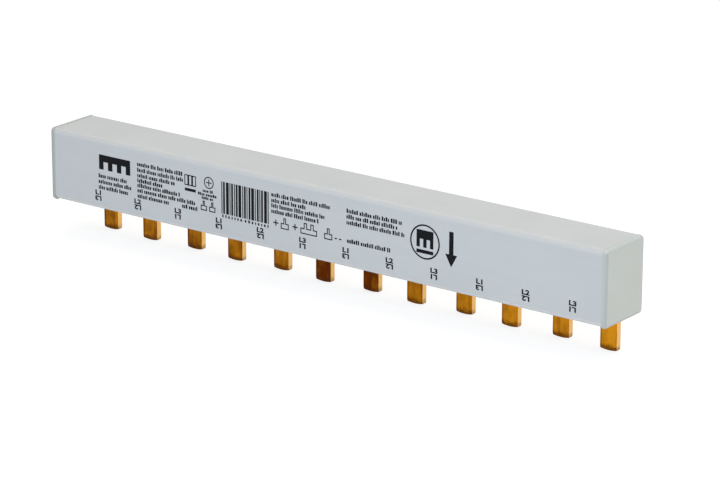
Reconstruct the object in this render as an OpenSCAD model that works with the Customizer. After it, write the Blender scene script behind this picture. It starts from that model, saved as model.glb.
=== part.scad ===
// Comb busbar: copper combs for three phases in one insulating housing.
// X runs along the bar, Y towards the back, Z up. The origin is the middle of the row of tongues,
// at the height of the housing's underside, so the tongues hang below Z = 0.

/* [Tongues] */
// Number of tongues in the row, dealt out to the phases in turn
tongue_count = 12; // [3:1:24]
// Distance from one tongue to the next, one module of the breakers
tongue_pitch = 17.6; // [14:0.1:24]
// Width of a tongue, along the bar
tongue_w = 5.8; // [4:0.1:8]
// Length of a tongue below the housing
tongue_l = 12.9; // [8:0.1:20]
// How much nearer the front every second tongue stands
tongue_stagger = 1.2; // [0:0.1:2]
// Radius of a tongue's lower corners
tongue_corner_r = 0.7; // [0.2:0.1:1.8]
// How much lower a tongue's curved end reaches in the middle than at its corners
tip_crown = 0.35; // [0.1:0.05:0.6]
// Height of the lead-in pressed into a tongue's tip
tip_h = 1.2; // [0.5:0.1:3]
// Thickness that the lead-in takes off each face
tip_d = 0.2; // [0.1:0.05:0.6]

/* [Combs] */
// Thickness of the copper sheet
copper_t = 2.0; // [1.4:0.1:2.4]
// Width of the strip that runs along the bar
strip_w = 8.0; // [6:0.1:10]
// Inside radius of the bend above a tongue
bend_r = 1.0; // [0.6:0.1:2]
// Radius of the fillets where a finger leaves its strip
root_r = 1.2; // [0.3:0.1:3]
// How far the strips stop short of the housing's cut ends
strip_recess = 0.6; // [0.1:0.1:2]

/* [Housing] */
// Width of the housing, front to back
housing_w = 20.1; // [18:0.1:28]
// Height of the housing
housing_h = 23.4; // [20:0.1:32]
// Thickness of the outer walls
wall_t = 1.2; // [0.8:0.1:1.6]
// Thickness of the shelves between the phases
shelf_t = 1.2; // [0.7:0.1:1.4]
// Thickness of the ribs that hold the strips down
rib_t = 0.9; // [0.6:0.1:1.4]
// How far a rib stands in from its strip's back edge
rib_inset = 0.8; // [0.2:0.1:1.6]
// Radius of the housing's long outer edges
housing_edge_r = 1.4; // [0.3:0.1:1.5]
// Radius inside the corners of the outer walls
housing_inner_r = 0.4; // [0.1:0.1:0.8]
// Housing past the first tongue, at the left end
overhang_left = 6.4; // [4.2:0.1:14]
// Housing past the last tongue, at the right end
overhang_right = 4.2; // [4.2:0.1:14]

/* [End caps] */
// Thickness of a cap's plate
cap_t = 1.5; // [1.4:0.1:3]
// How far the plate stands proud of the housing at the front, back and top
cap_lip = 0.1; // [0.1:0.1:1.2]
// How far the plate reaches below the housing
cap_drop = 0.7; // [0.2:0.1:1.2]
// Radius of the plate's outer edges
cap_edge_r = 1.1; // [0.3:0.1:1.4]
// Length of the plugs that enter the chambers
plug_l = 5.0; // [2.5:0.1:8]
// Thickness of a plug's walls
plug_wall = 0.9; // [0.6:0.1:1.2]
// Height of the tapered nose of a plug
plug_nose = 0.6; // [0.2:0.1:1.2]
// Length of the blade that closes the end of the slot
blade_l = 3.0; // [1:0.1:3.6]

/* [Clearances] */
// Gap between a tongue and the edges of the slot
slot_gap = 0.3; // [0.1:0.05:0.5]
// Gap round a strip, to the front wall and to its rib
strip_gap = 0.2; // [0.05:0.05:0.4]
// Gap between a plug or blade and the walls round it
plug_gap = 0.1; // [0.05:0.05:0.3]

/* [Hidden] */
$fn = 48;

phases = 3;
plastic = [0.79, 0.81, 0.83];
cap_plastic = [0.76, 0.78, 0.77];
copper = [0.74, 0.46, 0.16];

// Along the bar
row_half = (tongue_count - 1) * tongue_pitch / 2;
x_left = -row_half - tongue_w / 2 - overhang_left;
x_right = row_half + tongue_w / 2 + overhang_right;

// Front to back: the two lines of tongues lie evenly about Y = 0
slot_half = (tongue_stagger + copper_t) / 2 + slot_gap;
y_back = slot_half + wall_t;
y_front = y_back - housing_w;
y_strip = y_front + wall_t + strip_gap;
y_fingers = y_strip + strip_w;
y_rib = y_fingers - rib_inset - rib_t;

// Upwards: three equal chambers, the lowest on the floor of the housing
chamber_h = (housing_h - 2 * wall_t - (phases - 1) * shelf_t) / phases;
shelf_pitch = chamber_h + shelf_t;
nose_r = max(bend_r - slot_gap, 0.1);

// Radius of the curve that a tongue ends in
crown_r = (pow(tongue_w / 2, 2) + pow(tip_crown, 2)) / (2 * tip_crown);

// Corner radius of a cap's plate, seen from the end
cap_corner_r = max(housing_edge_r + cap_lip, cap_edge_r);

function tongue_x(i) = i * tongue_pitch - row_half;
function tongue_y(i) = tongue_stagger * (i % 2 == 0 ? 0.5 : -0.5);
function face_y(i) = tongue_y(i) - copper_t / 2;
function seat_z(level) = wall_t + level * shelf_pitch;

// Stands a section drawn in Y and Z upright and runs it along X
module along_x(from, to) {
    translate([from, 0, 0]) rotate([90, 0, 90]) linear_extrude(to - from) children();
}

// Rectangle from one corner to another
module box2(low, high) {
    translate(low) square(high - low);
}

// The same with rounded corners
module rounded_box2(low, high, r) {
    box2(low + [r, 0], high - [r, 0]);
    box2(low + [0, r], high - [0, r]);
    for (x = [low[0] + r, high[0] - r], y = [low[1] + r, high[1] - r])
        translate([x, y]) circle(r);
}

// Rectangle of which only the upper right corner is rounded
module corner_box2(low, high, r) {
    box2(low, high - [r, 0]);
    box2(low, high - [0, r]);
    translate(high - [r, r]) circle(r);
}

// Section of a floor or shelf, its back edge rounded off under the bends of the fingers
module shelf_section(seat, thickness) {
    low = [y_front + wall_t / 2, seat - thickness];
    high = [-slot_half, seat];
    intersection() {
        box2(low, high);
        corner_box2(low - [0, 2 * nose_r], high, nose_r);
    }
}

// Section of the rib that hangs over a strip from the ceiling of its chamber
module rib_section(seat) {
    box2([y_rib, seat + copper_t + strip_gap], [y_rib + rib_t, seat + chamber_h + shelf_t / 2]);
}

module housing_section() {
    difference() {
        rounded_box2([y_front, 0], [y_back, housing_h], housing_edge_r);
        rounded_box2([y_front, 0] + [wall_t, wall_t], [y_back, housing_h] - [wall_t, wall_t],
                     housing_inner_r);
        box2([y_front + wall_t, -wall_t], [slot_half, 2 * wall_t]);
    }
    for (level = [0 : phases - 1]) {
        shelf_section(seat_z(level), level == 0 ? wall_t : shelf_t);
        rib_section(seat_z(level));
    }
}

module housing() {
    color(plastic) along_x(x_left, x_right) housing_section();
}

// Fillet in the corner between a finger and its strip, on the side -1 or 1 of the finger
module root_fillet(side) {
    rotate(side > 0 ? 0 : 90) difference() {
        translate([-root_r, -root_r]) square(2 * root_r);
        translate([root_r, root_r]) circle(root_r);
    }
}

// Strip of a comb and the fillets at the roots of its fingers, seen from above
module strip_outline(level) {
    box2([x_left + strip_recess, y_strip], [x_right - strip_recess, y_fingers]);
    for (i = [level : phases : tongue_count - 1], side = [-1, 1])
        translate([tongue_x(i) + side * tongue_w / 2, y_fingers]) root_fillet(side);
}

// What the lead-in takes off one face of a tongue's tip, side 1 at the front and -1 at the back
module lead_in_cut(face, side) {
    translate([face, -tongue_l])
        polygon([[side * tip_d, 0], [side * tip_d, -1], [-side, -1], [-side, tip_h], [0, tip_h]]);
}

// Side view of a finger: flat on its shelf, bent down, and pressed thinner at the tip
module finger_section(i, seat) {
    front = face_y(i);
    back = front + copper_t;
    start = y_fingers - root_r;
    difference() {
        corner_box2([start, -tongue_l], [back, seat + copper_t], bend_r + copper_t);
        corner_box2([start - 1, -tongue_l - 1], [front, seat], bend_r);
        lead_in_cut(front, 1);
        lead_in_cut(back, -1);
    }
}

// What the curve of a tongue's end takes off the outline's lower edge
module crown_cut(i) {
    translate([tongue_x(i), -tongue_l]) difference() {
        box2([-tongue_w, -1], [tongue_w, tip_crown]);
        translate([0, crown_r]) circle(crown_r);
    }
}

// Front view of a finger, with the rounded lower corners and the curved end of its tongue
module finger_outline(i, top) {
    r = tongue_corner_r;
    low = [tongue_x(i) - tongue_w / 2, -tongue_l];
    high = [tongue_x(i) + tongue_w / 2, top];
    difference() {
        union() {
            box2(low + [0, r], high);
            box2(low + [r, 0], high - [r, 0]);
            for (x = [low[0] + r, high[0] - r])
                translate([x, low[1] + r]) circle(r);
        }
        crown_cut(i);
    }
}

// One finger of a comb, from its strip to the tip of its tongue
module finger(i, seat) {
    back = face_y(i) + copper_t;
    intersection() {
        along_x(tongue_x(i) - tongue_w / 2, tongue_x(i) + tongue_w / 2) finger_section(i, seat);
        translate([0, back, 0]) rotate([90, 0, 0])
            linear_extrude(back - y_fingers + root_r) finger_outline(i, seat + copper_t);
    }
}

// Copper comb of one phase, 0 at the bottom: every third finger of the row belongs to it
module comb(level) {
    seat = seat_z(level);
    color(copper) {
        translate([0, 0, seat]) linear_extrude(copper_t) strip_outline(level);
        for (i = [level : phases : tongue_count - 1])
            finger(i, seat);
    }
}

// Half section of the plate's edge: straight inside, rounded outside
module cap_edge_section() {
    difference() {
        square([cap_corner_r, cap_t]);
        translate([cap_corner_r - cap_edge_r, cap_t - cap_edge_r]) difference() {
            square(2 * cap_edge_r);
            circle(cap_edge_r);
        }
    }
}

// Plate of a cap, drawn flat with its outer face up
module cap_plate() {
    low = [y_front, 0] - [cap_lip, cap_drop] + [cap_corner_r, cap_corner_r];
    high = [y_back, housing_h] + [cap_lip, cap_lip] - [cap_corner_r, cap_corner_r];
    corners = [low, [high[0], low[1]], high, [low[0], high[1]]];
    translate(low) cube([high[0] - low[0], high[1] - low[1], cap_t]);
    for (k = [0 : 3]) {
        next = corners[(k + 1) % 4];
        translate(corners[k]) rotate(180 + 90 * k) rotate_extrude(angle = 90) cap_edge_section();
        translate(next) rotate(270 + 90 * k) rotate([90, 0, 0])
            linear_extrude(norm(next - corners[k])) cap_edge_section();
    }
}

// Outline of a plug, from the plate at 0 to the tapered nose, between two heights or two depths
module plug_outline(low, high) {
    shoulder = plug_l - plug_nose;
    taper = plug_nose / 2;
    polygon([[0, low], [-shoulder, low], [-plug_l, low + taper],
             [-plug_l, high - taper], [-shoulder, high], [0, high]]);
}

// Hollow plug that fills the front of a chamber above its strip
module plug(level) {
    low = [y_front + wall_t, seat_z(level) + copper_t] + [plug_gap, plug_gap];
    high = [y_rib, seat_z(level) + chamber_h] - [plug_gap, plug_gap];
    wall = [plug_wall, plug_wall];
    difference() {
        intersection() {
            translate([0, 0, low[1]]) linear_extrude(high[1] - low[1])
                plug_outline(low[0], high[0]);
            translate([0, high[0], 0]) rotate([90, 0, 0]) linear_extrude(high[0] - low[0])
                plug_outline(low[1], high[1]);
            along_x(-plug_l, 0) rounded_box2(low, high, housing_inner_r);
        }
        along_x(-plug_l - plug_wall, -plug_wall) box2(low + wall, high - wall);
    }
}

// Blade that fills the end of the channel and of the slot
module channel_blade() {
    along_x(-blade_l, 0)
        rounded_box2([plug_gap - slot_half, 0], [slot_half, housing_h - wall_t] - [plug_gap, plug_gap],
                     housing_inner_r);
}

// A cap at the origin of X, its plugs pointing to -X
module end_cap() {
    rotate([90, 0, 90]) cap_plate();
    for (level = [0 : phases - 1]) plug(level);
    channel_blade();
}

module end_cap_right() {
    color(cap_plastic) translate([x_right, 0, 0]) end_cap();
}

module end_cap_left() {
    color(cap_plastic) translate([x_left, 0, 0]) mirror([1, 0, 0]) end_cap();
}

housing();
comb(0);  // comb_l1
comb(1);  // comb_l2
comb(2);  // comb_l3
end_cap_left();
end_cap_right();
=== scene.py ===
"""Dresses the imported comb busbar, prints its front face and lights it in a plain white studio."""

import logging
import math
import random
from dataclasses import dataclass, field
from enum import Enum
from functools import reduce

import bmesh
import bpy
from mathutils import Matrix, Vector


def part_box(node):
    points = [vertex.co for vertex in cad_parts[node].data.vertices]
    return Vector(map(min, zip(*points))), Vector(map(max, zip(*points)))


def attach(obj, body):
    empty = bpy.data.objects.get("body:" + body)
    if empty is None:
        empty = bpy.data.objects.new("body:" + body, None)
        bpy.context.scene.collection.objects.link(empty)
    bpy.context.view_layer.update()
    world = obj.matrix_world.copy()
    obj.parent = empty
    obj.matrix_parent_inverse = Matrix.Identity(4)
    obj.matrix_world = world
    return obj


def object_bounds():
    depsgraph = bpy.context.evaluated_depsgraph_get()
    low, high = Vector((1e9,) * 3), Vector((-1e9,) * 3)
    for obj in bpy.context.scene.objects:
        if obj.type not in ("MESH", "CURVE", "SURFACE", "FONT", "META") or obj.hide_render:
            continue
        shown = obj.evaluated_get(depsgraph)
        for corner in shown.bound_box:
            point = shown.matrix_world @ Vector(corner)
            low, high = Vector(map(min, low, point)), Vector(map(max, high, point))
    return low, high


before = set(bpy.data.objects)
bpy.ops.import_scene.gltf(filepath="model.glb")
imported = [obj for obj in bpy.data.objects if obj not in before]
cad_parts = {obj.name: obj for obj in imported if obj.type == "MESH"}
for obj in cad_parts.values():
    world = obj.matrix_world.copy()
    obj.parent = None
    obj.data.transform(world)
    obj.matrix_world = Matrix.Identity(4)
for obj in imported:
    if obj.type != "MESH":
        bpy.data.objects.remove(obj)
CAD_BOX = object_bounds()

log = logging.getLogger("comb_busbar")

MM = 0.001
BODY = "root"
NEAR = 0.01 * MM
WELD = 0.002 * MM
CROSS = (0.0, 90.0)
NOISE_SPAN = (0.3, 0.7)
PLASTIC_IOR = 1.46
PLASTIC_GLOSS = 0.32
Point = tuple[float, float]
Triple = tuple[float, float, float]
Colour = Triple
Piece = bpy.types.Object
Material = bpy.types.Material
Socket = bpy.types.NodeSocket
Value = Socket | float


class Phase(Enum):
    """The three phases that the tongues carry, in the order in which they follow each other."""

    ONE = "L1"
    TWO = "L2"
    THREE = "L3"


class Slot(Enum):
    """The record's material slots."""

    HOUSING = "housing_plastic"
    COPPER = "copper"
    CAP = "cap_plastic"


class Side(Enum):
    """The edge of a flat shape that teeth grow from, as the sign of Z."""

    UPPER = 1
    LOWER = -1


# Materials


class NodeSheet:
    """One material's shader nodes, with short calls for the steps that the finishes share."""

    def __init__(self, name: str) -> None:
        """Starts the material.

        Args:
            name: the material's name.
        """
        self.material = bpy.data.materials.new(name)
        self.material.use_nodes = True
        self.nodes = self.material.node_tree.nodes
        self.links = self.material.node_tree.links
        self.shader = self.nodes["Principled BSDF"]
        self.coordinates = self.nodes.new("ShaderNodeTexCoord")
        self.place = self.coordinates.outputs["Object"]

    def set(self, socket_name: str, value: Value | Colour) -> None:
        """Feeds one of the shader's sockets.

        Args:
            socket_name: the Principled BSDF's own name for it.
            value: a socket to link, a number, or a linear colour.
        """
        socket = self.shader.inputs[socket_name]
        if isinstance(value, tuple):
            socket.default_value = (*value, 1.0)
        else:
            self._feed(socket, value)

    def _feed(self, socket: Socket, value: Value | Colour) -> None:
        """Links or sets a socket of any node.

        Args:
            socket: the input that is fed.
            value: a socket to link, a number, or a linear colour.
        """
        if isinstance(value, Socket):
            self.links.new(value, socket)
        elif isinstance(value, tuple) and len(socket.default_value) == 4:
            socket.default_value = (*value, 1.0)
        else:
            socket.default_value = value

    def stretched(self, scale: Triple, offset: Triple = (0.0, 0.0, 0.0)) -> Socket:
        """Object coordinates, scaled and moved, so that a pattern runs along one direction.

        Args:
            scale: units of the pattern to a metre, along X, Y and Z.
            offset: how far the pattern is moved, in its own units.

        Returns:
            The coordinates.
        """
        mapping = self.nodes.new("ShaderNodeMapping")
        mapping.inputs["Scale"].default_value = scale
        mapping.inputs["Location"].default_value = offset
        self.links.new(self.place, mapping.inputs["Vector"])
        return mapping.outputs["Vector"]

    def noise(
        self, scale: float, detail: float = 2.0, where: Socket | None = None, rough: float = 0.5
    ) -> Socket:
        """Fractal noise between 0 and 1.

        Args:
            scale: features per metre, or per unit of the stretched coordinates.
            detail: octaves of finer noise.
            where: coordinates, or the plain object coordinates when left out.
            rough: how strongly the finer octaves count.

        Returns:
            The noise's value.
        """
        node = self.nodes.new("ShaderNodeTexNoise")
        node.inputs["Scale"].default_value = scale
        node.inputs["Detail"].default_value = detail
        node.inputs["Roughness"].default_value = rough
        self.links.new(where or self.place, node.inputs["Vector"])
        return node.outputs["Fac"]

    def axis(self, name: str, source: Socket | None = None) -> Socket:
        """One coordinate of a vector.

        Args:
            name: X, Y or Z.
            source: the vector, or the object coordinates when left out.

        Returns:
            The coordinate.
        """
        node = self.nodes.new("ShaderNodeSeparateXYZ")
        self.links.new(source or self.place, node.inputs[0])
        return node.outputs[name]

    def math(self, operation: str, first: Value, second: Value = 0.0) -> Socket:
        """One arithmetic step.

        Args:
            operation: Blender's name for it.
            first: the first number.
            second: the second number, where the step has one.

        Returns:
            The result.
        """
        node = self.nodes.new("ShaderNodeMath")
        node.operation = operation
        self._feed(node.inputs[0], first)
        self._feed(node.inputs[1], second)
        return node.outputs[0]

    def add(self, first: Value, second: Value) -> Socket:
        """The sum of two numbers."""
        return self.math("ADD", first, second)

    def times(self, first: Value, second: Value) -> Socket:
        """The product of two numbers."""
        return self.math("MULTIPLY", first, second)

    def larger(self, first: Value, second: Value) -> Socket:
        """The larger of two numbers."""
        return self.math("MAXIMUM", first, second)

    def ramp(self, value: Value, start: float, end: float, low: float = 0.0, high: float = 1.0) -> Socket:
        """A smooth step between two levels.

        Args:
            value: the number that the step follows.
            start: where it leaves the first level.
            end: where it reaches the second level.
            low: the first level.
            high: the second level.

        Returns:
            The level.
        """
        node = self.nodes.new("ShaderNodeMapRange")
        node.interpolation_type = "SMOOTHSTEP"
        self._feed(node.inputs["Value"], value)
        for name, number in (("From Min", start), ("From Max", end), ("To Min", low), ("To Max", high)):
            node.inputs[name].default_value = number
        return node.outputs["Result"]

    def spread(self, pattern: Socket, low: float = 0.0, high: float = 1.0) -> Socket:
        """Two levels that a noise pattern moves between."""
        return self.ramp(pattern, *NOISE_SPAN, low, high)

    def near(self, value: Value, centre: float, reach: float) -> Socket:
        """1 where value is at centre, falling smoothly to 0 at reach from it."""
        return self.ramp(self.math("ABSOLUTE", self.math("SUBTRACT", value, centre)), 0.0, reach, 1.0, 0.0)

    def mix(self, share: Value, first: Socket | Colour, second: Socket | Colour) -> Socket:
        """Two colours blended.

        Args:
            share: how much of the second is taken, from 0 to 1.
            first: the colour under it.
            second: the colour over it.

        Returns:
            The mixed colour.
        """
        node = self.nodes.new("ShaderNodeMix")
        node.data_type = "RGBA"
        # The node has sockets of one name for each data type, so the colour's are taken by number.
        self._feed(node.inputs[0], share)
        self._feed(node.inputs[6], first)
        self._feed(node.inputs[7], second)
        return node.outputs[2]

    def shaded(self, colour: Socket | Colour, tone: Socket) -> Socket:
        """A colour made lighter or darker.

        Args:
            colour: the colour.
            tone: how much lighter, as a share of it, and less than 0 for darker.

        Returns:
            The changed colour.
        """
        node = self.nodes.new("ShaderNodeHueSaturation")
        self._feed(node.inputs["Color"], colour)
        self._feed(node.inputs["Value"], self.add(tone, 1.0))
        return node.outputs["Color"]

    def bump(self, height: Socket, depth: float, strength: float, under: Socket | None = None) -> Socket:
        """A bumped normal.

        Args:
            height: the relief, from 0 to 1.
            depth: how deep 1 is, in metres.
            strength: the share of it that shows.
            under: another bump to add it to.

        Returns:
            The normal.
        """
        node = self.nodes.new("ShaderNodeBump")
        node.inputs["Distance"].default_value = depth
        node.inputs["Strength"].default_value = strength
        self.links.new(height, node.inputs["Height"])
        if under is not None:
            self.links.new(under, node.inputs["Normal"])
        return node.outputs["Normal"]


@dataclass(frozen=True)
class ExtrudedPlastic:
    """The housing's light grey profile: faint lines along the bar, worn long edges, painted shade and light
    on its roundings and painted shade at its left end.

    A rise is the upward part of a normal: where a painted tone on a rounded edge begins and is full,
    and the same again at its other side.
    """

    name: str = "extruded_plastic"
    colour: Colour = (0.562, 0.590, 0.603)
    worn: Colour = (0.60, 0.62, 0.63)
    # Painted shade at the left end, beside the left cap.
    painted_end_shade: Colour = (0.435, 0.461, 0.446)
    # Painted shade on the upper roundings, painted light just under them and on the lower roundings.
    crest_shade: Colour = (0.560, 0.564, 0.550)
    brow_light: Colour = (0.602, 0.624, 0.631)
    foot: Colour = (0.720, 0.735, 0.740)
    left_end_x: float = -106.1 * MM
    low: Point = (-17.0 * MM, 0.0)
    high: Point = (3.1 * MM, 23.4 * MM)
    edge_reach: float = 1.4 * MM
    brow_down: float = 1.25 * MM
    brow_reach: float = 0.85 * MM
    end_shade_reach: Point = (0.60 * MM, 0.25 * MM)
    end_shade_share: float = 0.9
    worn_share: float = 0.3
    crest_shade_rise: tuple[Point, Point] = ((0.25, 0.60), (0.98, 0.80))
    foot_light_rise: tuple[Point, Point] = ((-0.05, -0.60), (-0.999, -0.95))

    def make(self) -> Material:
        """Builds the material.

        Returns:
            The material.
        """
        sheet = NodeSheet(self.name)
        cloud = sheet.spread(sheet.noise(38.0, 3.0), -0.018, 0.018)
        lines = sheet.noise(1.0, 3.0, sheet.stretched((7.0, 900.0, 900.0)), 0.6)
        grain = sheet.noise(5200.0, 2.0)
        tone = sheet.add(cloud, sheet.spread(lines, -0.010, 0.010))
        tone = sheet.add(tone, sheet.ramp(grain, 0.25, 0.75, -0.008, 0.008))
        edge = self.rubbed(sheet)
        plain = sheet.shaded(self.colour, tone)
        colour = sheet.mix(sheet.times(edge, self.worn_share), plain, self.worn)
        sheet.set("Base Color", self.paint_light_and_shade(sheet, colour))
        smears = sheet.ramp(sheet.noise(55.0, 4.0, sheet.stretched((0.4, 1.0, 1.0))), 0.35, 0.7, 0.48, 0.58)
        rough = sheet.add(smears, sheet.spread(lines, -0.04, 0.04))
        sheet.set("Roughness", sheet.add(rough, sheet.times(edge, 0.06)))
        sheet.set("IOR", PLASTIC_IOR)
        sheet.set("Specular IOR Level", PLASTIC_GLOSS)
        drawn = sheet.bump(lines, 0.010 * MM, 0.5)
        sheet.set("Normal", sheet.bump(grain, 0.004 * MM, 0.5, drawn))
        return sheet.material

    def rubbed(self, sheet: NodeSheet) -> Socket:
        """How worn each place is.

        Args:
            sheet: the material's nodes.

        Returns:
            0 over the faces, rising to an uneven 1 along the four long edges.
        """
        y, z = sheet.axis("Y"), sheet.axis("Z")
        reach = self.edge_reach
        beside = sheet.larger(sheet.near(y, self.low[0], reach), sheet.near(y, self.high[0], reach))
        level = sheet.larger(sheet.near(z, self.low[1], reach), sheet.near(z, self.high[1], reach))
        rub = sheet.ramp(sheet.noise(220.0, 4.0), 0.35, 0.75, 0.25, 1.0)
        return sheet.times(sheet.times(beside, level), rub)

    def paint_light_and_shade(self, sheet: NodeSheet, colour: Socket) -> Socket:
        """Adds painted shade to the upper roundings and the left end, and painted light to the lower
        roundings and a line under the upper ones.

        Args:
            sheet: the material's nodes.
            colour: the colour of the faces.

        Returns:
            The colour of the whole profile, with its painted light and shade.
        """
        rise = sheet.axis("Z", sheet.coordinates.outputs["Normal"])
        # Painted shade on the upper roundings; painted light just under them and on the lower roundings.
        over = sheet.times(*(sheet.ramp(rise, *span) for span in self.crest_shade_rise))
        under = sheet.times(*(sheet.ramp(rise, *span) for span in self.foot_light_rise))
        below = sheet.near(sheet.axis("Z"), self.high[1] - self.brow_down, self.brow_reach)
        colour = sheet.mix(over, sheet.mix(below, colour, self.brow_light), self.crest_shade)
        colour = sheet.mix(under, colour, self.foot)
        # Painted shade along the housing's left end, beside the left cap.
        start, end = (self.left_end_x + reach for reach in self.end_shade_reach)
        end_shade_mask = sheet.times(sheet.ramp(sheet.axis("X"), start, end), self.end_shade_share)
        return sheet.mix(end_shade_mask, colour, self.painted_end_shade)


@dataclass(frozen=True)
class MouldedPlastic:
    """The end caps' plastic: the grain of a sparked mould, greener than the housing, with painted shade on
    its plate's sides and rounded edges.

    A turn is the part of a normal along the bar: where a painted shade begins and where it is full.
    """

    name: str = "moulded_plastic"
    colour: Colour = (0.528, 0.560, 0.532)
    # Painted shade on the plate's sides and on its rounded edges.
    rim_shade: Colour = (0.510, 0.554, 0.538)
    rounding_shade: Colour = (0.424, 0.457, 0.446)
    rim_turn: Point = (0.998, 0.95)
    rounding_turn: Point = (0.998, 0.965)
    left_turn: Point = (0.0, -0.30)
    right_turn: Point = (0.10, 0.85)
    level_rise: Point = (0.5, 0.1)
    level_share: float = 0.35

    def make(self) -> Material:
        """Builds the material.

        Returns:
            The material.
        """
        sheet = NodeSheet(self.name)
        cloud = sheet.spread(sheet.noise(70.0, 3.0), -0.015, 0.015)
        grain = sheet.noise(3600.0, 3.0, rough=0.6)
        tone = sheet.add(cloud, sheet.spread(grain, -0.012, 0.012))
        side, level = (sheet.axis(name, sheet.coordinates.outputs["Normal"]) for name in ("X", "Z"))
        facing = sheet.math("ABSOLUTE", side)
        # Painted shade on the rounded edges that face left, and on the upright ones that face right.
        left = sheet.ramp(side, *self.left_turn)
        upright = sheet.ramp(sheet.math("ABSOLUTE", level), *self.level_rise, self.level_share, 1.0)
        right = sheet.times(sheet.ramp(side, *self.right_turn), upright)
        turned = sheet.times(sheet.larger(left, right), sheet.ramp(facing, *self.rounding_turn))
        # Painted shade on every side of the plate but its end face.
        colour = sheet.mix(sheet.ramp(facing, *self.rim_turn), self.colour, self.rim_shade)
        sheet.set("Base Color", sheet.shaded(sheet.mix(turned, colour, self.rounding_shade), tone))
        sheet.set("Roughness", sheet.spread(sheet.noise(400.0, 3.0), 0.50, 0.60))
        sheet.set("IOR", PLASTIC_IOR)
        sheet.set("Specular IOR Level", PLASTIC_GLOSS)
        sheet.set("Normal", sheet.bump(grain, 0.010 * MM, 0.5))
        return sheet.material


@dataclass(frozen=True)
class RolledCopper:
    """The combs' copper: rolling lines, brown bloom, bright side faces of fresh metal with a painted
    highlight, and painted shade along the tongues' edges, at their roots and at their coined tips.

    Each of its stretches has its middle and reach along the bar and the share of brown that it adds.
    """

    name: str = "rolled_copper"
    bright: Colour = (0.63, 0.255, 0.009)
    brown: Colour = (0.11, 0.021, 0.0004)
    sheared_and_highlight: Colour = (0.86, 0.52, 0.18)
    # Painted shade at the coined tips.
    tip_shade: Colour = (0.075, 0.018, 0.001)
    tip_z: float = -12.9 * MM
    tip_shade_reach: float = 2.3 * MM
    pitch: float = 17.6 * MM
    half: float = 2.9 * MM
    fade: Point = (-20.0 * MM, 97.0 * MM)
    stretches: tuple[Triple, ...] = ((0.0, 27.0 * MM, 0.58), (44.0 * MM, 10.0 * MM, 0.22))
    root_shade_reach: float = 1.3 * MM
    ragged: float = 0.4 * MM
    count: int = 12
    # Where and how strong the painted shade is along the tongues' edges and at their roots.
    edge_from: float = 0.72
    edge_shade_share: float = 0.45
    right_edge_shade_share: float = 0.35
    root_shade_share: float = 0.4
    side_turn: Point = (0.55, 0.95)
    tip_spans: Point = (1.0, 0.25)

    def make(self) -> Material:
        """Builds the material.

        Returns:
            The material.
        """
        sheet = NodeSheet(self.name)
        streaks = sheet.noise(1.0, 3.0, sheet.stretched((1500.0, 1500.0, 60.0)), 0.6)
        bloom = sheet.noise(430.0, 4.0, sheet.stretched((1.0, 1.0, 0.5)), 0.6)
        colour = sheet.mix(self.browned_and_shaded(sheet, streaks, bloom), self.bright, self.brown)
        facing = sheet.math("ABSOLUTE", sheet.axis("X", sheet.coordinates.outputs["Normal"]))
        # The side faces: brighter fresh metal, lightened further by a painted highlight.
        colour = sheet.mix(sheet.ramp(facing, *self.side_turn, 0.0, 0.85), colour, self.sheared_and_highlight)
        # Painted shade at the coined tips, which face down, weaker on the side faces.
        ragged = sheet.spread(sheet.noise(900.0, 3.0), -self.ragged, self.ragged)
        start, end = (self.tip_z + share * self.tip_shade_reach for share in self.tip_spans)
        dark = sheet.ramp(sheet.add(sheet.axis("Z"), ragged), start, end)
        tip_shade_share = sheet.times(dark, sheet.ramp(facing, *self.side_turn, 0.80, 0.50))
        sheet.set("Base Color", sheet.mix(tip_shade_share, colour, self.tip_shade))
        sheet.set("Metallic", 1.0)
        rough = sheet.spread(bloom, 0.30, 0.42)
        sheet.set("Roughness", sheet.add(rough, sheet.spread(streaks, -0.05, 0.05)))
        lines = sheet.bump(streaks, 0.012 * MM, 0.6)
        sheet.set("Normal", sheet.bump(sheet.noise(2600.0, 2.0), 0.006 * MM, 0.5, lines))
        return sheet.material

    def browned_and_shaded(self, sheet: NodeSheet, streaks: Socket, bloom: Socket) -> Socket:
        """How brown each place is, with painted shade along the tongues' edges and at their roots.

        Args:
            sheet: the material's nodes.
            streaks: the pattern of the rolling lines.
            bloom: the pattern of the patches.

        Returns:
            The share of brown and of painted shade, from 0 to 1.
        """
        x = sheet.axis("X")
        batch = sheet.noise(1.0, 1.0, sheet.stretched((41.0, 0.0, 0.0), (0.4, 0.0, 0.0)))
        tones = (
            sheet.ramp(x, *self.fade, 0.50, 0.05),
            *(sheet.times(sheet.near(x, middle, reach), share) for middle, reach, share in self.stretches),
            sheet.ramp(batch, 0.35, 0.65, -0.12, 0.16),
            sheet.spread(bloom, -0.12, 0.17),
            sheet.spread(streaks, -0.08, 0.12),
            # Painted shade along the tongues' edges and where they go into the housing.
            sheet.times(self.beside(sheet, x), self.edge_shade_share),
            sheet.times(sheet.near(sheet.axis("Z"), 0.0, self.root_shade_reach), self.root_shade_share),
        )
        return sheet.math("MINIMUM", sheet.larger(reduce(sheet.add, tones), 0.0), 1.0)

    def beside(self, sheet: NodeSheet, x: Socket) -> Socket:
        """Picks out the two long edges of each tongue, where painted shade goes.

        Args:
            sheet: the material's nodes.
            x: the place along the bar.

        Returns:
            1 along the left edge, less along the right edge and 0 over the middle.
        """
        step = sheet.add(sheet.math("DIVIDE", x, self.pitch), self.count / 2)
        off = sheet.math("SUBTRACT", 0.5, sheet.math("FRACT", step))
        inner, outer = (share * self.half / self.pitch for share in (self.edge_from, 1.0))
        right = sheet.ramp(off, -inner, -outer, 0.0, self.right_edge_shade_share)
        return sheet.larger(sheet.ramp(off, inner, outer), right)


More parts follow.
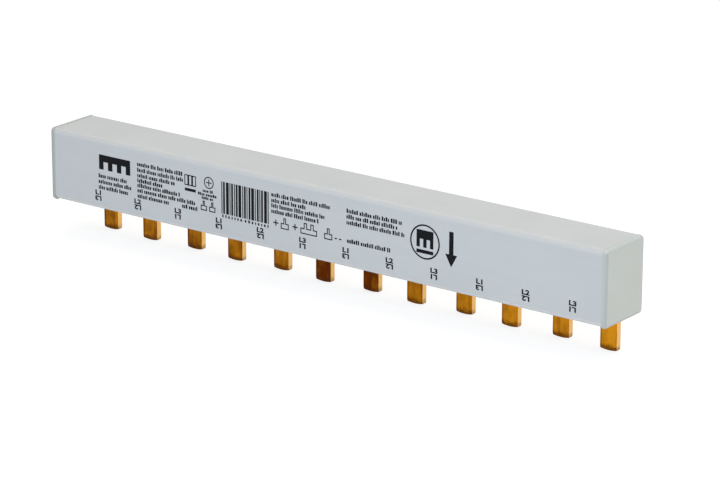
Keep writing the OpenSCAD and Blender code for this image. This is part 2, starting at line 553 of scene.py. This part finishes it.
@dataclass(frozen=True)
class PrintingInk:
    """The thin blue-black ink of the print, a little uneven."""

    name: str = "printing_ink"
    colour: Colour = (0.003, 0.0035, 0.005)
    thin: Colour = (0.010, 0.011, 0.015)

    def make(self) -> Material:
        """Builds the material.

        Returns:
            The material.
        """
        sheet = NodeSheet(self.name)
        patches = sheet.noise(1500.0, 3.0)
        sheet.set("Base Color", sheet.mix(sheet.ramp(patches, 0.4, 0.75), self.colour, self.thin))
        sheet.set("Roughness", sheet.spread(patches, 0.52, 0.70))
        sheet.set("Specular IOR Level", 0.12)
        sheet.set("Normal", sheet.bump(sheet.noise(4000.0, 2.0), 0.003 * MM, 0.5))
        return sheet.material


@dataclass(frozen=True)
class WhiteFloor:
    """The studio's floor: pale, lit by the lamps, and lifted to white where the camera or a gloss sees it."""

    name: str = "white_floor"
    colour: Colour = (0.80, 0.80, 0.80)
    shade: float = 0.985
    kept: float = 0.22
    lift: float = 0.84

    def make(self) -> Material:
        """Builds the material, where what is seen is a share of the lit floor plus an even white.

        Returns:
            The material.
        """
        sheet = NodeSheet(self.name)
        sheet.nodes.remove(sheet.shader)
        patches = sheet.spread(sheet.noise(9.0, 3.0))
        tone = sheet.mix(patches, self.colour, tuple(self.shade * c for c in self.colour))
        lit = sheet.nodes.new("ShaderNodeBsdfDiffuse")
        sheet.links.new(tone, lit.inputs["Color"])
        shown = sheet.nodes.new("ShaderNodeBsdfDiffuse")
        shown.inputs["Color"].default_value = (self.kept,) * 3 + (1.0,)
        glow = sheet.nodes.new("ShaderNodeEmission")
        glow.inputs["Strength"].default_value = self.lift
        white = sheet.nodes.new("ShaderNodeAddShader")
        sheet.links.new(shown.outputs[0], white.inputs[0])
        sheet.links.new(glow.outputs[0], white.inputs[1])
        choice = sheet.nodes.new("ShaderNodeMixShader")
        sheet.links.new(seen_ray(sheet), choice.inputs[0])
        sheet.links.new(lit.outputs[0], choice.inputs[1])
        sheet.links.new(white.outputs[0], choice.inputs[2])
        sheet.links.new(choice.outputs[0], sheet.nodes["Material Output"].inputs["Surface"])
        return sheet.material


def seen_ray(sheet: NodeSheet) -> Socket:
    """Tells the rays that show a surface from those that only light it.

    Args:
        sheet: the material's nodes.

    Returns:
        1 for the camera's rays and those of a gloss or of glass, 0 for all others.
    """
    path = sheet.nodes.new("ShaderNodeLightPath")
    total = sheet.larger(path.outputs["Is Camera Ray"], path.outputs["Is Glossy Ray"])
    return sheet.larger(total, path.outputs["Is Transmission Ray"])


# Modelling steps


def clear_selection() -> None:
    """Leaves object mode's selection empty."""
    if bpy.context.object is not None and bpy.context.object.mode != "OBJECT":
        bpy.ops.object.mode_set(mode="OBJECT")
    bpy.ops.object.select_all(action="DESELECT")


def take(piece: Piece) -> None:
    """Makes one piece the only selected and the active one.

    Args:
        piece: the piece.
    """
    clear_selection()
    piece.select_set(True)
    bpy.context.view_layer.objects.active = piece


def settle(piece: Piece, place: Matrix | None = None) -> Piece:
    """Puts a piece's place in its mesh, so that its object sits at the origin.

    Args:
        piece: the new piece, in object mode.
        place: one more move of the mesh, made after the object's own.

    Returns:
        The same piece.
    """
    take(piece)
    bpy.ops.object.transform_apply(location=True, rotation=True, scale=True)
    if place is not None:
        piece.data.transform(place)
    piece.data.update()
    return piece


def select_edges(mesh: bpy.types.Mesh, height: float, spans: list[Point]) -> None:
    """Selects some of the level edges of a mesh in edit mode.

    Args:
        mesh: the mesh.
        height: the Z that the edges lie at.
        spans: stretches of X, one of which holds the middle of each edge.
    """
    bpy.ops.mesh.select_all(action="DESELECT")
    bpy.ops.mesh.select_mode(type="EDGE")
    form = bmesh.from_edit_mesh(mesh)
    for edge in form.edges:
        ends = [vert.co for vert in edge.verts]
        level = all(abs(end.z - height) < NEAR for end in ends)
        middle = (ends[0].x + ends[1].x) / 2
        edge.select_set(level and any(low - NEAR < middle < high + NEAR for low, high in spans))
    form.select_flush_mode()
    bmesh.update_edit_mesh(mesh)


@dataclass
class InkPress:
    """Models flat shapes that face the front, gives them a film's thickness and lays them on the housing."""

    front_y: float
    ink: Material
    film: float = 0.020 * MM
    sunk: float = 0.005 * MM
    curve_steps: int = 5
    upright: Matrix = field(default_factory=lambda: Matrix.Rotation(math.radians(90), 4, "X"))

    def sheet(self, name: str, width: float, height: float, cells: int = 1) -> Piece:
        """Starts a flat upright grid of cells side by side, its middle at the origin.

        Args:
            name: the piece's name.
            width: its size along the bar.
            height: its size upwards.
            cells: how many equal cells its width has.

        Returns:
            The flat shape, in edit mode.
        """
        clear_selection()
        bpy.ops.mesh.primitive_grid_add(x_subdivisions=cells, y_subdivisions=1, size=1.0)
        piece = bpy.context.object
        piece.name = name
        settle(piece, self.upright @ Matrix.Diagonal((width, height, 1.0, 1.0)))
        bpy.ops.object.mode_set(mode="EDIT")
        bpy.ops.mesh.select_all(action="SELECT")
        return piece

    def thicken(self, piece: Piece) -> Piece:
        """Extrudes a flat shape by the film and leaves edit mode.

        Args:
            piece: the flat shape, in edit mode.

        Returns:
            The same piece.
        """
        bpy.ops.mesh.select_mode(type="FACE")
        bpy.ops.mesh.select_all(action="SELECT")
        bpy.ops.mesh.remove_doubles(threshold=WELD)
        bpy.ops.mesh.extrude_region_move(TRANSFORM_OT_translate={"value": (0.0, -self.film - self.sunk, 0.0)})
        bpy.ops.mesh.select_all(action="SELECT")
        bpy.ops.mesh.normals_make_consistent(inside=False)
        bpy.ops.object.mode_set(mode="OBJECT")
        return piece

    def plate(self, name: str, width: float, height: float) -> Piece:
        """Models a bar or block of the width along the bar and the height upwards."""
        return self.thicken(self.sheet(name, width, height))

    def outline(self, piece: Piece, line: float) -> Piece:
        """Turns a flat shape into its outline and thickens it.

        Args:
            piece: the flat shape, in edit mode.
            line: the width of the line.

        Returns:
            The same piece.
        """
        bpy.ops.mesh.select_mode(type="FACE")
        bpy.ops.mesh.select_all(action="SELECT")
        bpy.ops.mesh.inset(thickness=line, use_boundary=True, use_even_offset=True)
        bpy.ops.mesh.delete(type="FACE")
        return self.thicken(piece)

    def ring(self, name: str, radius: float, line: float, corners: int) -> Piece:
        """Models a round line, inset from a disc.

        Args:
            name: the piece's name.
            radius: the line's outer radius.
            line: its width.
            corners: how many corners stand for the circle.

        Returns:
            The piece.
        """
        clear_selection()
        bpy.ops.mesh.primitive_circle_add(vertices=corners, radius=radius, fill_type="NGON")
        piece = bpy.context.object
        piece.name = name
        settle(piece, self.upright)
        bpy.ops.object.mode_set(mode="EDIT")
        return self.outline(piece, line)

    def toothed(
        self, name: str, size: Point, cells: int, teeth: tuple[int, ...], tooth: float, side: Side
    ) -> Piece:
        """A bar with teeth on one side, left in edit mode.

        Args:
            name: the piece's name.
            size: width and height of the bar.
            cells: how many equal cells the bar's width has.
            teeth: the cells that a tooth grows from.
            tooth: how long the teeth are.
            side: the bar's edge that they are on.

        Returns:
            The flat shape.
        """
        width, height = size
        piece = self.sheet(name, width, height, cells)
        cell = width / cells
        middles = [-width / 2 + (i + 0.5) * cell for i in teeth]
        select_edges(piece.data, side.value * height / 2, [(m - cell / 4, m + cell / 4) for m in middles])
        bpy.ops.mesh.extrude_region_move(TRANSFORM_OT_translate={"value": (0.0, 0.0, side.value * tooth)})
        return piece

    def lettering(self, name: str, words: str, height: float, bold: float = 0.0) -> Piece:
        """Short plain lettering, made a mesh, its middle at the origin.

        Args:
            name: the piece's name.
            words: what it says.
            height: how tall its capitals are.
            bold: how much its strokes grow on each side, as a share of the type's size.

        Returns:
            The piece.
        """
        clear_selection()
        bpy.ops.object.text_add()
        piece = bpy.context.object
        piece.name = name
        piece.data.body = words
        piece.data.resolution_u = self.curve_steps
        piece.data.offset = bold
        bpy.ops.object.convert(target="MESH")
        piece = bpy.context.object
        low, high = mesh_span(piece)
        scale = height / (high.y - low.y)
        middle = (low + high) / 2
        centred = Matrix.Scale(scale, 4) @ Matrix.Translation(-middle)
        settle(piece, self.upright @ centred)
        bpy.ops.object.mode_set(mode="EDIT")
        return self.thicken(piece)

    def lay(self, piece: Piece, x: float, z: float, turn: float = 0.0, width: float = 1.0) -> Piece:
        """Moves a shape from the origin to its place on the front face.

        Args:
            piece: the shape.
            x: where its middle goes along the bar, in metres.
            z: how high its middle goes, in metres.
            turn: degrees that it is turned in the face.
            width: a stretch along the bar, made before the turn.

        Returns:
            The same shape.
        """
        stretch = Matrix.Diagonal((width, 1.0, 1.0, 1.0))
        turned = Matrix.Rotation(math.radians(turn), 4, "Y")
        return settle(piece, Matrix.Translation((x, self.front_y + self.sunk, z)) @ turned @ stretch)

    def repeat(self, pattern: Piece, places: list[tuple[float, ...]]) -> list[Piece]:
        """Lays copies of a shape on the front face and removes the shape itself.

        Args:
            pattern: the shape, its middle at the origin.
            places: what lay takes for each copy, which is its x and z, and its turn and width if it has them.

        Returns:
            The copies.
        """
        copies = [self.lay(copy_of(pattern), *place) for place in places]
        drop(pattern)
        return copies

    def gather(self, name: str, shapes: list[Piece]) -> Piece:
        """Joins shapes into one inked piece that rides on the bar.

        Args:
            name: the piece's name.
            shapes: shapes that lie in their places.

        Returns:
            The piece.
        """
        take(shapes[0])
        for shape in shapes:
            shape.select_set(True)
        if len(shapes) > 1:
            bpy.ops.object.join()
        piece = bpy.context.object
        piece.name = piece.data.name = name
        piece.data.materials.clear()
        piece.data.materials.append(self.ink)
        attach(piece, BODY)
        log.info("%s: %d faces", name, len(piece.data.polygons))
        return piece


def mesh_span(piece: Piece) -> tuple[Vector, Vector]:
    """Measures a piece's mesh.

    Args:
        piece: the piece.

    Returns:
        The lowest and the highest corner of the box around it.
    """
    points = [vert.co for vert in piece.data.vertices]
    low = Vector([min(point[k] for point in points) for k in range(3)])
    high = Vector([max(point[k] for point in points) for k in range(3)])
    return low, high


def copy_of(piece: Piece) -> Piece:
    """Copies a piece with its mesh.

    Args:
        piece: the piece.

    Returns:
        The copy, with a mesh of its own.
    """
    twin = piece.copy()
    twin.data = piece.data.copy()
    bpy.context.scene.collection.objects.link(twin)
    return twin


def drop(piece: Piece) -> None:
    """Removes a pattern piece once its copies are made."""
    bpy.data.objects.remove(piece, do_unlink=True)


# Print on the front face


@dataclass
class PhaseMarks:
    """Twelve stacked marks along the lower edge, each readable from either side of the bar."""

    count: int = 12
    first_x: float = -87.6 * MM
    pitch: float = 16.51 * MM
    middle_z: float = 4.34 * MM
    letter: float = 1.64 * MM
    apart: float = 1.92 * MM
    bold: float = 0.046
    stretch: float = 1.36

    def build(self, press: InkPress) -> Piece:
        """Models the three phases' letters once and copies them upright and turned over.

        Args:
            press: the press, set to the front face.

        Returns:
            The inked piece.
        """
        words = [phase.value for phase in Phase]
        letters = [press.lettering("letters_" + word, word, self.letter, self.bold) for word in words]
        shapes = []
        for i in range(self.count):
            x, which = self.first_x + i * self.pitch, i % len(words)
            for sign, turn, letter in ((1, 0.0, letters[which]), (-1, 180.0, letters[-1 - which])):
                z = self.middle_z + sign * self.apart / 2
                shapes.append(press.lay(copy_of(letter), x, z, turn, self.stretch))
        for letter in letters:
            drop(letter)
        return press.gather("phase_marks", shapes)


@dataclass
class BlockRows:
    """Rows of small blocks, spaced like words, that stand for the notes on such a bar and say nothing.

    Its sizes are in millimetres, and each of its rows has its left end, its height and its length.
    """

    name: str
    rows: tuple[Triple, ...]
    tall: float = 1.36
    low: float = 1.02
    gap: float = 0.20
    seed: int = 1
    word: tuple[int, int] = (3, 8)
    widths: Point = (0.38, 0.68)
    tall_share: float = 0.35
    space: float = 0.42

    def build(self, press: InkPress) -> Piece:
        """Sets the rows from left to right, block by block.

        Args:
            press: the press, set to the front face.

        Returns:
            The inked piece.
        """
        draw = random.Random(self.seed)
        pattern = press.plate("block", 1.0 * MM, self.tall * MM)
        shapes = []
        for left, z, length in self.rows:
            x, end = left, left + length
            while x < end:
                for _ in range(draw.randint(*self.word)):
                    width = draw.uniform(*self.widths)
                    if x + width > end:
                        break
                    height = self.tall if draw.random() < self.tall_share else self.low
                    shape = copy_of(pattern)
                    shape.data.transform(Matrix.Diagonal((1.0, 1.0, height / self.tall, 1.0)))
                    middle = z - (self.tall - height) / 2
                    shapes.append(press.lay(shape, (x + width / 2) * MM, middle * MM, width=width))
                    x += width + self.gap
                x += self.space
        drop(pattern)
        return press.gather(self.name, shapes)


@dataclass
class BarPattern:
    """A field of upright bars in an even rhythm of plain widths and gaps, which are in millimetres."""

    left: float = -36.87 * MM
    right: float = -17.96 * MM
    low: float = 7.90 * MM
    high: float = 18.25 * MM
    widths: tuple[float, ...] = (0.35, 0.7, 1.1, 0.35, 0.7)
    gaps: tuple[float, ...] = (0.32, 0.45, 0.32)
    room: float = 0.3 * MM

    def build(self, press: InkPress) -> Piece:
        """Repeats the rhythm from the left to the right end.

        Args:
            press: the press, set to the front face.

        Returns:
            The inked piece.
        """
        places = []
        x, i = self.left, 0
        while x < self.right - self.room:
            width = self.widths[i % len(self.widths)] * MM
            places.append((x + width / 2, (self.low + self.high) / 2, 0.0, width / MM))
            x += width + self.gaps[i % len(self.gaps)] * MM
            i += 1
        bar = press.plate("bar", 1.0 * MM, self.high - self.low)
        return press.gather("bar_pattern", press.repeat(bar, places))


@dataclass
class CombSign:
    """A bold sign of a comb: a bar with four teeth pointing down."""

    middle: Point = (-80.5 * MM, 15.66 * MM)
    width: float = 13.0 * MM
    bar: float = 2.3 * MM
    tooth: float = 2.6 * MM

    def build(self, press: InkPress) -> Piece:
        """Grows the teeth from a bar of seven cells.

        Args:
            press: the press, set to the front face.

        Returns:
            The inked piece.
        """
        sign = press.toothed("comb_sign", (self.width, self.bar), 7, (0, 2, 4, 6), self.tooth, Side.LOWER)
        press.thicken(sign)
        press.lay(sign, self.middle[0], self.middle[1] + self.tooth / 2)
        return press.gather("comb_sign", [sign])


@dataclass
class ModuleSigns:
    """Small signs between the rows and the bars: modules on a strip, a screw's head and two end pieces."""

    modules_x: tuple[float, ...] = (-50.95 * MM, -49.4 * MM, -47.85 * MM)
    modules_z: float = 16.2 * MM
    module: Point = (1.55 * MM, 3.5 * MM)
    strip: Point = (4.4 * MM, 0.95 * MM)
    strip_z: float = 13.1 * MM
    head: Point = (-41.9 * MM, 16.8 * MM)
    radius: float = 1.95 * MM
    corners: int = 32
    slot_size: float = 2.2 * MM
    end_x: tuple[float, ...] = (-44.0 * MM, -40.6 * MM)
    end_z: float = 8.3 * MM
    end_size: Point = (2.5 * MM, 1.7 * MM)
    tooth: float = 1.5 * MM
    line: float = 0.34 * MM

    def build(self, press: InkPress) -> Piece:
        """Outlines the signs and sets them in their places.

        Args:
            press: the press, set to the front face.

        Returns:
            The inked piece.
        """
        module = press.outline(press.sheet("module_sign", *self.module), self.line)
        shapes = press.repeat(module, [(x, self.modules_z) for x in self.modules_x])
        shapes.append(press.lay(press.plate("strip_sign", *self.strip), self.modules_x[1], self.strip_z))
        shapes.append(press.lay(press.ring("head_sign", self.radius, self.line, self.corners), *self.head))
        slot = press.plate("head_slot", self.slot_size, self.line)
        shapes += press.repeat(slot, [(*self.head, turn) for turn in CROSS])
        end = press.toothed("small_end_sign", self.end_size, 3, (1,), self.tooth, Side.UPPER)
        shapes += press.repeat(press.outline(end, self.line), [(x, self.end_z) for x in self.end_x])
        return press.gather("module_signs", shapes)


@dataclass
class FittingSigns:
    """A row of small outlined signs: end pieces, a length of comb and plus signs between them."""

    middle_z: float = 8.3 * MM
    end_x: tuple[float, ...] = (-11.95 * MM, 4.85 * MM)
    end_size: Point = (3.1 * MM, 1.9 * MM)
    comb_x: float = -2.65 * MM
    comb_size: Point = (6.4 * MM, 1.9 * MM)
    tooth: float = 1.7 * MM
    line: float = 0.34 * MM
    plus_x: tuple[float, ...] = (-15.4 * MM, -7.95 * MM)
    plus_size: float = 2.0 * MM
    plus_up: float = 0.6 * MM
    dash_x: tuple[float, ...] = (7.75 * MM, 9.4 * MM)
    dash_size: float = 0.9 * MM
    stroke: float = 0.4 * MM

    def build(self, press: InkPress) -> Piece:
        """Outlines the signs and sets them in their row.

        Args:
            press: the press, set to the front face.

        Returns:
            The inked piece.
        """
        end = press.toothed("end_sign", self.end_size, 3, (1,), self.tooth, Side.UPPER)
        shapes = press.repeat(press.outline(end, self.line), [(x, self.middle_z) for x in self.end_x])
        comb = press.toothed("length_sign", self.comb_size, 5, (1, 3), self.tooth, Side.UPPER)
        shapes.append(press.lay(press.outline(comb, self.line), self.comb_x, self.middle_z))
        stroke = press.plate("plus_stroke", self.plus_size, self.stroke)
        plus_z = self.middle_z + self.plus_up
        shapes += press.repeat(stroke, [(x, plus_z, turn) for x in self.plus_x for turn in CROSS])
        dash = press.plate("dash", self.dash_size, self.stroke)
        shapes += press.repeat(dash, [(x, self.middle_z) for x in self.dash_x])
        return press.gather("fitting_signs", shapes)


@dataclass
class RingSign:
    """A ring with a comb over a rail in it."""

    middle: Point = (41.07 * MM, 13.66 * MM)
    radius: float = 5.45 * MM
    corners: int = 64
    line: float = 0.50 * MM
    comb: Point = (6.2 * MM, 2.8 * MM)
    comb_up: float = 2.2 * MM
    tooth: float = 2.6 * MM
    rail: Point = (6.2 * MM, 1.1 * MM)
    rail_down: float = 3.1 * MM

    def build(self, press: InkPress) -> Piece:
        """Adds the comb and the rail to the ring.

        Args:
            press: the press, set to the front face.

        Returns:
            The inked piece.
        """
        x, z = self.middle
        shapes = [press.lay(press.ring("ring", self.radius, self.line, self.corners), x, z)]
        comb = press.toothed("ring_comb", self.comb, 5, (0, 2, 4), self.tooth, Side.LOWER)
        shapes.append(press.lay(press.thicken(comb), x, z + self.comb_up))
        shapes.append(press.lay(press.plate("ring_rail", *self.rail), x, z - self.rail_down))
        return press.gather("ring_sign", shapes)


@dataclass
class PushArrow:
    """An arrow that points the way the tongues go in."""

    middle: Point = (50.7 * MM, 13.15 * MM)
    shaft: Point = (1.6 * MM, 7.1 * MM)
    head: Point = (4.3 * MM, 3.9 * MM)
    shoulder: float = 0.02 * MM

    def build(self, press: InkPress) -> Piece:
        """Widens the shaft's lower edge and draws it out to a point.

        Args:
            press: the press, set to the front face.

        Returns:
            The inked piece.
        """
        piece = press.sheet("push_arrow", *self.shaft)
        foot, half = -self.shaft[1] / 2, self.shaft[0] / 2
        select_edges(piece.data, foot, [(-half, half)])
        bpy.ops.mesh.extrude_region_move(TRANSFORM_OT_translate={"value": (0.0, 0.0, -self.shoulder)})
        wider = (self.head[0] / self.shaft[0], 1.0, 1.0)
        bpy.ops.transform.resize(value=wider, center_override=(0.0, 0.0, foot))
        bpy.ops.mesh.extrude_region_move(TRANSFORM_OT_translate={"value": (0.0, 0.0, -self.head[1])})
        bpy.ops.mesh.merge(type="CENTER")
        press.thicken(piece)
        press.lay(piece, self.middle[0], self.middle[1] + self.head[1] / 2)
        return press.gather("push_arrow", [piece])


# The bar itself


@dataclass
class Bar:
    """The six CAD nodes, which are the housing, the combs and the end caps, and the finish of each."""

    housing: str = "housing"
    combs: tuple[str, ...] = ("comb_l1", "comb_l2", "comb_l3")
    caps: tuple[str, ...] = ("end_cap_left", "end_cap_right")
    # The left cap's finish is a darker copy, with more painted shade on its plate's sides and rounded edges.
    left_shaded_finish: MouldedPlastic = MouldedPlastic(
        "moulded_plastic_left_shaded", rim_shade=(0.445, 0.472, 0.455), rounding_shade=(0.355, 0.382, 0.373)
    )
    right_finish: MouldedPlastic = MouldedPlastic()

    def dress(self) -> None:
        """Assigns the finishes to the nodes' material slots."""
        low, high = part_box(self.housing)
        profile = ExtrudedPlastic(left_end_x=low.x, low=(low.y, low.z), high=(high.y, high.z)).make()
        copper = RolledCopper(tip_z=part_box(self.combs[0])[0].z).make()
        for name in self.combs:
            self.paint(name, Slot.COPPER, copper)
        self.paint(self.housing, Slot.HOUSING, profile)
        for name, finish in zip(self.caps, (self.left_shaded_finish, self.right_finish)):
            self.paint(name, Slot.CAP, finish.make())

    def paint(self, name: str, kind: Slot, finish: Material) -> None:
        """Gives one node its finish.

        Args:
            name: the CAD node.
            kind: the record's slot that it has.
            finish: the material for all of it.
        """
        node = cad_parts[name]
        if not node.material_slots:
            node.data.materials.append(finish)
        for slot in node.material_slots:
            slot.material = finish
        log.info("%s: %s dressed in %s", name, kind.value, finish.name)

    def front_y(self) -> float:
        """Where the housing's front face lies."""
        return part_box(self.housing)[0].y


# Studio


@dataclass
class SoftBox:
    """One soft area lamp that looks at the bar's origin."""

    name: str
    place: Triple
    size: Point
    power: float
    colour: Colour

    def build(self) -> Piece:
        """Hangs the lamp.

        Returns:
            The lamp.
        """
        lamp = bpy.data.lights.new(self.name, "AREA")
        lamp.shape = "RECTANGLE"
        lamp.size, lamp.size_y = self.size
        lamp.energy = self.power
        lamp.color = self.colour
        holder = bpy.data.objects.new(self.name, lamp)
        bpy.context.scene.collection.objects.link(holder)
        holder.location = self.place
        holder.rotation_euler = (-Vector(self.place)).to_track_quat("-Z", "Y").to_euler()
        return holder


@dataclass
class Studio:
    """A plain pale floor, a pale surround, three soft boxes and the camera."""

    floor_z: float
    floor_side: float = 8.0
    gap: float = 0.02 * MM
    camera_place: Triple = (0.61754, -0.82017, 0.33047)
    azimuth: float = 36.789
    elevation: float = 17.906
    roll: float = 0.2
    lens: float = 174.244
    sensor: float = 36.0
    near_clip: float = 0.01
    surround: Colour = (1.0, 1.0, 1.0)
    surround_strength: float = 0.33
    lamps: tuple[SoftBox, ...] = (
        SoftBox("top_box", (0.15, 0.15, 1.45), (1.4, 1.2), 13.5, (1.0, 0.872, 0.72)),
        SoftBox("front_box", (0.46, -0.94, 0.80), (1.0, 0.7), 10.0, (0.74, 0.855, 1.0)),
        SoftBox("end_box", (1.40, 0.80, 0.45), (1.0, 0.7), 6.2, (1.0, 1.0, 0.98)),
    )

    def build(self) -> None:
        """Sets up the floor, the surround, the lamps, the camera and the view settings."""
        self.lay_floor()
        self.light_surround()
        for lamp in self.lamps:
            lamp.build()
        self.place_camera()
        bpy.context.scene.view_settings.view_transform = "Standard"
        log.info("studio: floor, surround, %d lamps and camera", len(self.lamps))

    def lay_floor(self) -> None:
        """Lays the floor just under the tongues' tips."""
        clear_selection()
        bpy.ops.mesh.primitive_plane_add(size=self.floor_side, location=(0.0, 0.0, self.floor_z - self.gap))
        floor = bpy.context.object
        floor.name = "floor"
        settle(floor)
        floor.data.materials.append(WhiteFloor().make())

    def light_surround(self) -> None:
        """Makes the world an even soft light that is seen as white."""
        world = bpy.data.worlds.new("surround")
        bpy.context.scene.world = world
        world.use_nodes = True
        nodes, links = world.node_tree.nodes, world.node_tree.links
        path = nodes.new("ShaderNodeLightPath")
        strength = nodes.new("ShaderNodeMapRange")
        strength.inputs["To Min"].default_value = self.surround_strength
        strength.inputs["To Max"].default_value = 1.0
        links.new(path.outputs["Is Camera Ray"], strength.inputs["Value"])
        background = nodes["Background"]
        background.inputs["Color"].default_value = (*self.surround, 1.0)
        links.new(strength.outputs["Result"], background.inputs["Strength"])

    def place_camera(self) -> None:
        """Puts the camera where the photograph was taken from."""
        data = bpy.data.cameras.new("camera")
        data.lens = self.lens
        data.sensor_width = self.sensor
        data.clip_start = self.near_clip
        camera = bpy.data.objects.new("camera", data)
        bpy.context.scene.collection.objects.link(camera)
        camera.location = self.camera_place
        turn = Matrix.Rotation(math.radians(self.azimuth), 3, "Z")
        tilt = Matrix.Rotation(math.radians(90 - self.elevation), 3, "X")
        roll = Matrix.Rotation(math.radians(self.roll), 3, "Z")
        camera.rotation_euler = (turn @ tilt @ roll).to_euler()
        bpy.context.scene.camera = camera


def print_front(press: InkPress) -> None:
    """Prints everything that stands on the front face.

    Args:
        press: the press, set to the front face.
    """
    notes = (
        BlockRows(
            "notes_under_sign", ((-87.3, 11.07, 11.9), (-87.3, 9.18, 14.2), (-87.3, 7.28, 12.3)), seed=3
        ),
        BlockRows(
            "notes_long",
            ((-71.1, 17.75, 19.1), (-71.1, 15.86, 19.0), (-71.1, 14.06, 15.4), (-71.1, 12.37, 10.6),
             (-71.1, 10.77, 17.7), (-71.1, 9.08, 24.8), (-71.1, 7.28, 12.9), (-52.8, 7.38, 6.4)),
            seed=5,
        ),
        BlockRows(
            "notes_under_screw",
            ((-44.4, 13.95, 4.6), (-46.3, 12.75, 7.8), (-44.8, 11.60, 4.9)),
            tall=0.95, low=0.72, gap=0.16, seed=15,
        ),
        BlockRows("notes_under_bars", ((-36.6, 7.12, 18.4),), tall=0.95, low=0.80, gap=0.7, seed=17),
        BlockRows(
            "notes_by_bars",
            ((-17.15, 17.75, 22.6), (-17.15, 15.95, 14.5), (-17.15, 14.26, 20.8), (-17.15, 12.46, 18.6)),
            seed=7,
        ),
        BlockRows("notes_by_ring", ((11.8, 17.95, 21.3), (11.8, 16.15, 19.2), (11.8, 14.31, 22.4)), seed=9),
        BlockRows("notes_by_signs", ((12.0, 8.47, 16.6),), seed=11),
    )
    signs = (ModuleSigns(), BarPattern(), FittingSigns(), RingSign(), PushArrow())
    for part in (PhaseMarks(), CombSign(), *notes, *signs):
        part.build(press)


def main() -> None:
    """Builds the scene: the dressed bar, its print and the studio."""
    logging.basicConfig(level=logging.INFO, format="%(name)s: %(message)s")
    bar = Bar()
    bar.dress()
    print_front(InkPress(front_y=bar.front_y(), ink=PrintingInk().make()))
    Studio(floor_z=CAD_BOX[0].z).build()
    clear_selection()


if __name__ == "__main__":
    main()
